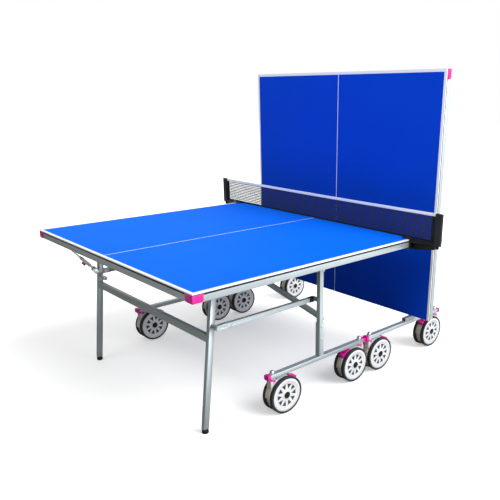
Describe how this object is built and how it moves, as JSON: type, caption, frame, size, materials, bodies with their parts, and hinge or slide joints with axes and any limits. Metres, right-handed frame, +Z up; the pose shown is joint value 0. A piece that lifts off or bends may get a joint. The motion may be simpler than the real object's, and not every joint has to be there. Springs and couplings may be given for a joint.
{
  "type": "rollaway table tennis table",
  "caption": "Folding rollaway table tennis table: one half down with the net clamped on, the other half upright on its wheeled trolley.",
  "frame": {"origin": "middle of the bounding box, on the floor", "axes": "+X along the table from the lowered half to the upright half, +Y across it, +Z up"},
  "size_m": [1.845, 1.87, 1.609],
  "materials": {
    "board_blue": "weatherproof laminate, satin blue with white lines",
    "frame_steel": "silver powder coated steel tube",
    "cap_pink": "moulded magenta plastic",
    "fender_beige": "moulded cream plastic",
    "hub_white": "moulded white plastic",
    "tyre_black": "ribbed black tread",
    "pedal_pink": "moulded magenta plastic",
    "bolt_steel": "zinc plated steel",
    "net_mesh": "black woven mesh with a white tape along its top",
    "net_post_black": "black powder coat",
    "foot_rubber": "black moulded rubber",
    "stay_steel": "zinc plated steel"
  },
  "bodies": {
    "trolley_a": {"trolley_frame_a": "frame_steel", "rail_end_caps_a": "cap_pink", "caster_bolts_a": "bolt_steel"},
    "top_a": {"table_board_a": "board_blue", "apron_frame_a": "frame_steel", "corner_caps_a": "cap_pink", "net_posts": "net_post_black", "net_sheet": "net_mesh"},
    "legs_a": {"leg_frame_a": "frame_steel"},
    "links_a": {"link_bars_a": "frame_steel"},
    "stay_a": {"leg_stay_a": "stay_steel"},
    "catch_a": {"stay_catch_a": "cap_pink"},
    "foot_a1": {"levelling_foot_a1": "foot_rubber"},
    "foot_a2": {"levelling_foot_a2": "foot_rubber"},
    "caster_a1": {"caster_housing_a1": "fender_beige"},
    "wheels_a1": {"caster_hubs_a1": "hub_white", "caster_tyres_a1": "tyre_black"},
    "pedal_a1": {"brake_pedal_a1": "pedal_pink"},
    "caster_a2": {"caster_housing_a2": "fender_beige"},
    "wheels_a2": {"caster_hubs_a2": "hub_white", "caster_tyres_a2": "tyre_black"},
    "pedal_a2": {"brake_pedal_a2": "pedal_pink"},
    "caster_a3": {"caster_housing_a3": "fender_beige"},
    "wheels_a3": {"caster_hubs_a3": "hub_white", "caster_tyres_a3": "tyre_black"},
    "pedal_a3": {"brake_pedal_a3": "pedal_pink"},
    "caster_a4": {"caster_housing_a4": "fender_beige"},
    "wheels_a4": {"caster_hubs_a4": "hub_white", "caster_tyres_a4": "tyre_black"},
    "pedal_a4": {"brake_pedal_a4": "pedal_pink"},
    "trolley_b": {"trolley_frame_b": "frame_steel", "rail_end_caps_b": "cap_pink", "caster_bolts_b": "bolt_steel"},
    "top_b": {"table_board_b": "board_blue", "apron_frame_b": "frame_steel", "corner_caps_b": "cap_pink"},
    "legs_b": {"leg_frame_b": "frame_steel"},
    "links_b": {"link_bars_b": "frame_steel"},
    "stay_b": {"leg_stay_b": "stay_steel"},
    "catch_b": {"stay_catch_b": "cap_pink"},
    "foot_b1": {"levelling_foot_b1": "foot_rubber"},
    "foot_b2": {"levelling_foot_b2": "foot_rubber"},
    "caster_b1": {"caster_housing_b1": "fender_beige"},
    "wheels_b1": {"caster_hubs_b1": "hub_white", "caster_tyres_b1": "tyre_black"},
    "pedal_b1": {"brake_pedal_b1": "pedal_pink"},
    "caster_b2": {"caster_housing_b2": "fender_beige"},
    "wheels_b2": {"caster_hubs_b2": "hub_white", "caster_tyres_b2": "tyre_black"},
    "pedal_b2": {"brake_pedal_b2": "pedal_pink"},
    "caster_b3": {"caster_housing_b3": "fender_beige"},
    "wheels_b3": {"caster_hubs_b3": "hub_white", "caster_tyres_b3": "tyre_black"},
    "pedal_b3": {"brake_pedal_b3": "pedal_pink"},
    "caster_b4": {"caster_housing_b4": "fender_beige"},
    "wheels_b4": {"caster_hubs_b4": "hub_white", "caster_tyres_b4": "tyre_black"},
    "pedal_b4": {"brake_pedal_b4": "pedal_pink"},
    "clamp_1": {"net_clamp_screw_1": "net_post_black"},
    "clamp_2": {"net_clamp_screw_2": "net_post_black"}
  },
  "joints": [
    {"name": "fold_a", "type": "hinge", "parent": "trolley_a", "child": "top_a", "pos_m": [-0.0135, 0, 0.7], "axis": [0, 1, 0], "range_deg": [0, 90]},
    {"name": "legs_hang_a", "type": "hinge", "parent": "top_a", "child": "legs_a", "pos_m": [-0.5995, 0, 0.7], "axis": [0, 1, 0], "range_deg": [-90, 0]},
    {"name": "links_turn_a", "type": "hinge", "parent": "trolley_a", "child": "links_a", "pos_m": [-0.1175, 0, 0.512], "axis": [0, 1, 0], "range_deg": [0, 90]},
    {"name": "stay_turn_a", "type": "hinge", "parent": "legs_a", "child": "stay_a", "pos_m": [-0.6885, 0.52, 0.487], "axis": [0, 1, 0], "range_deg": [0, 47]},
    {"name": "catch_slide_a", "type": "slide", "parent": "stay_a", "child": "catch_a", "axis": [-0.6551, 0, 0.7556], "range_m": [-0.02, 0], "stiffness_N_per_m": 150, "springref_m": 0.002},
    {"name": "foot_screw_a1", "type": "slide", "parent": "legs_a", "child": "foot_a1", "axis": [0, 0, 1], "range_m": [-0.012, 0]},
    {"name": "foot_screw_a2", "type": "slide", "parent": "legs_a", "child": "foot_a2", "axis": [0, 0, 1], "range_m": [-0.012, 0]},
    {"name": "swivel_a1", "type": "hinge", "parent": "trolley_a", "child": "caster_a1", "pos_m": [0.1845, 0.63, 0.195], "axis": [0, 0, 1], "range_deg": [-90, 90]},
    {"name": "wheel_spin_a1", "type": "hinge", "parent": "caster_a1", "child": "wheels_a1", "pos_m": [0.1215, 0.63, 0.095], "axis": [0, 1, 0], "continuous": true},
    {"name": "pedal_rock_a1", "type": "hinge", "parent": "caster_a1", "child": "pedal_a1", "pos_m": [0.08124, 0.63, 0.15469], "axis": [0, 1, 0], "range_deg": [-5, 0]},
    {"name": "swivel_a2", "type": "hinge", "parent": "trolley_a", "child": "caster_a2", "pos_m": [0.1845, -0.63, 0.195], "axis": [0, 0, 1], "range_deg": [-90, 90]},
    {"name": "wheel_spin_a2", "type": "hinge", "parent": "caster_a2", "child": "wheels_a2", "pos_m": [0.1215, -0.63, 0.095], "axis": [0, 1, 0], "continuous": true},
    {"name": "pedal_rock_a2", "type": "hinge", "parent": "caster_a2", "child": "pedal_a2", "pos_m": [0.08124, -0.63, 0.15469], "axis": [0, 1, 0], "range_deg": [-5, 0]},
    {"name": "swivel_a3", "type": "hinge", "parent": "trolley_a", "child": "caster_a3", "pos_m": [-0.4335, 0.63, 0.195], "axis": [0, 0, 1], "continuous": true},
    {"name": "wheel_spin_a3", "type": "hinge", "parent": "caster_a3", "child": "wheels_a3", "pos_m": [-0.3705, 0.63, 0.095], "axis": [0, 1, 0], "continuous": true},
    {"name": "pedal_rock_a3", "type": "hinge", "parent": "caster_a3", "child": "pedal_a3", "pos_m": [-0.33024, 0.63, 0.15469], "axis": [0, 1, 0], "range_deg": [0, 5]},
    {"name": "swivel_a4", "type": "hinge", "parent": "trolley_a", "child": "caster_a4", "pos_m": [-0.4335, -0.63, 0.195], "axis": [0, 0, 1], "continuous": true},
    {"name": "wheel_spin_a4", "type": "hinge", "parent": "caster_a4", "child": "wheels_a4", "pos_m": [-0.3705, -0.63, 0.095], "axis": [0, 1, 0], "continuous": true},
    {"name": "pedal_rock_a4", "type": "hinge", "parent": "caster_a4", "child": "pedal_a4", "pos_m": [-0.33024, -0.63, 0.15469], "axis": [0, 1, 0], "range_deg": [0, 5]},
    {"name": "fold_b", "type": "hinge", "parent": "trolley_b", "child": "top_b", "pos_m": [0.6995, 0, 0.7], "axis": [0, 1, 0], "range_deg": [0, 90]},
    {"name": "legs_hang_b", "type": "hinge", "parent": "top_b", "child": "legs_b", "pos_m": [0.6995, 0, 1.286], "axis": [0, 1, 0], "range_deg": [-90, 0]},
    {"name": "links_turn_b", "type": "hinge", "parent": "trolley_b", "child": "links_b", "pos_m": [0.8035, 0, 0.512], "axis": [0, 1, 0], "range_deg": [0, 90]},
    {"name": "stay_turn_b", "type": "hinge", "parent": "legs_b", "child": "stay_b", "pos_m": [0.7885, -0.52, 1.073], "axis": [0, 1, 0], "range_deg": [0, 47]},
    {"name": "catch_slide_b", "type": "slide", "parent": "stay_b", "child": "catch_b", "axis": [-0.1058, 0, 0.9944], "range_m": [-0.02, 0], "stiffness_N_per_m": 150, "springref_m": 0.002},
    {"name": "foot_screw_b1", "type": "slide", "parent": "legs_b", "child": "foot_b1", "axis": [0, 0, 1], "range_m": [-0.012, 0]},
    {"name": "foot_screw_b2", "type": "slide", "parent": "legs_b", "child": "foot_b2", "axis": [0, 0, 1], "range_m": [-0.012, 0]},
    {"name": "swivel_b1", "type": "hinge", "parent": "trolley_b", "child": "caster_b1", "pos_m": [0.2685, -0.63, 0.195], "axis": [0, 0, 1], "range_deg": [-90, 90]},
    {"name": "wheel_spin_b1", "type": "hinge", "parent": "caster_b1", "child": "wheels_b1", "pos_m": [0.3315, -0.63, 0.095], "axis": [0, 1, 0], "continuous": true},
    {"name": "pedal_rock_b1", "type": "hinge", "parent": "caster_b1", "child": "pedal_b1", "pos_m": [0.37176, -0.63, 0.15469], "axis": [0, 1, 0], "range_deg": [0, 5]},
    {"name": "swivel_b2", "type": "hinge", "parent": "trolley_b", "child": "caster_b2", "pos_m": [0.2685, 0.63, 0.195], "axis": [0, 0, 1], "range_deg": [-90, 90]},
    {"name": "wheel_spin_b2", "type": "hinge", "parent": "caster_b2", "child": "wheels_b2", "pos_m": [0.3315, 0.63, 0.095], "axis": [0, 1, 0], "continuous": true},
    {"name": "pedal_rock_b2", "type": "hinge", "parent": "caster_b2", "child": "pedal_b2", "pos_m": [0.37176, 0.63, 0.15469], "axis": [0, 1, 0], "range_deg": [0, 5]},
    {"name": "swivel_b3", "type": "hinge", "parent": "trolley_b", "child": "caster_b3", "pos_m": [0.8865, -0.63, 0.195], "axis": [0, 0, 1], "continuous": true},
    {"name": "wheel_spin_b3", "type": "hinge", "parent": "caster_b3", "child": "wheels_b3", "pos_m": [0.8235, -0.63, 0.095], "axis": [0, 1, 0], "continuous": true},
    {"name": "pedal_rock_b3", "type": "hinge", "parent": "caster_b3", "child": "pedal_b3", "pos_m": [0.78324, -0.63, 0.15469], "axis": [0, 1, 0], "range_deg": [-5, 0]},
    {"name": "swivel_b4", "type": "hinge", "parent": "trolley_b", "child": "caster_b4", "pos_m": [0.8865, 0.63, 0.195], "axis": [0, 0, 1], "continuous": true},
    {"name": "wheel_spin_b4", "type": "hinge", "parent": "caster_b4", "child": "wheels_b4", "pos_m": [0.8235, 0.63, 0.095], "axis": [0, 1, 0], "continuous": true},
    {"name": "pedal_rock_b4", "type": "hinge", "parent": "caster_b4", "child": "pedal_b4", "pos_m": [0.78324, 0.63, 0.15469], "axis": [0, 1, 0], "range_deg": [-5, 0]},
    {"name": "trolley_b_roll", "type": "slide", "parent": "trolley_a", "child": "trolley_b", "axis": [1, 0, 0], "range_m": [0, 0.236]},
    {"name": "clamp_turn_1", "type": "hinge", "parent": "top_a", "child": "clamp_1", "pos_m": [0.4225, 0.7395, 0.714], "axis": [0, 0, 1], "range_deg": [-180, 180]},
    {"name": "clamp_turn_2", "type": "hinge", "parent": "top_a", "child": "clamp_2", "pos_m": [0.4225, -0.7395, 0.714], "axis": [0, 0, 1], "range_deg": [-180, 180]}
  ],
  "couplings": [
    {"joint": "legs_hang_a", "follows": "fold_a", "ratio": -1},
    {"joint": "links_turn_a", "follows": "fold_a", "ratio": 1},
    {"joint": "stay_turn_a", "follows": "fold_a", "ratio": 0.52222},
    {"joint": "legs_hang_b", "follows": "fold_b", "ratio": -1},
    {"joint": "links_turn_b", "follows": "fold_b", "ratio": 1},
    {"joint": "stay_turn_b", "follows": "fold_b", "ratio": 0.52222},
    {"joint": "trolley_b_roll", "follows": "fold_b", "m_per_rad": 0.15024}
  ]
}
